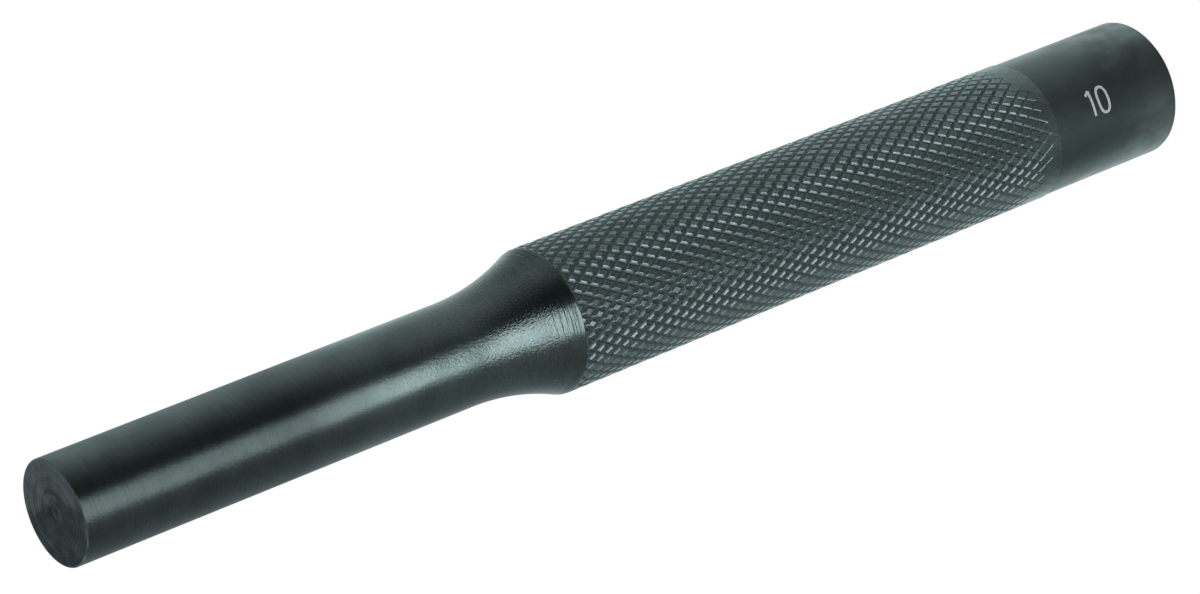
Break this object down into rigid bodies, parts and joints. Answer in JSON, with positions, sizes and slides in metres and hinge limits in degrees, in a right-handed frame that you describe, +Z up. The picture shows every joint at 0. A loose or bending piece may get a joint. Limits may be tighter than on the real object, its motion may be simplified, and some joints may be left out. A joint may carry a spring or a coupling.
{
  "type": "pin punch",
  "caption": "Straight pin punch: a parallel driving pin, a swept neck, a diamond-knurled grip and a smooth striking head, for driving fixing pins out of their holes.",
  "frame": {"origin": "centre of the flat driving face at the pin's end, on the tool's axis", "axes": "+X along the tool's axis from the driving face to the striking head, +Z up while the tool lies on its side, +Y to the left when looking along +X"},
  "size_m": [0.13, 0.0142, 0.0142],
  "materials": {
    "turned_steel": "satin black oxide over fine turning marks",
    "knurled_steel": "satin black oxide on pressed diamond knurl",
    "head_steel": "smooth mottled black oxide"
  },
  "bodies": {
    "root": {"pin": "turned_steel", "neck": "turned_steel", "knurled_grip": "knurled_steel", "striking_head": "head_steel"}
  },
  "joints": []
}
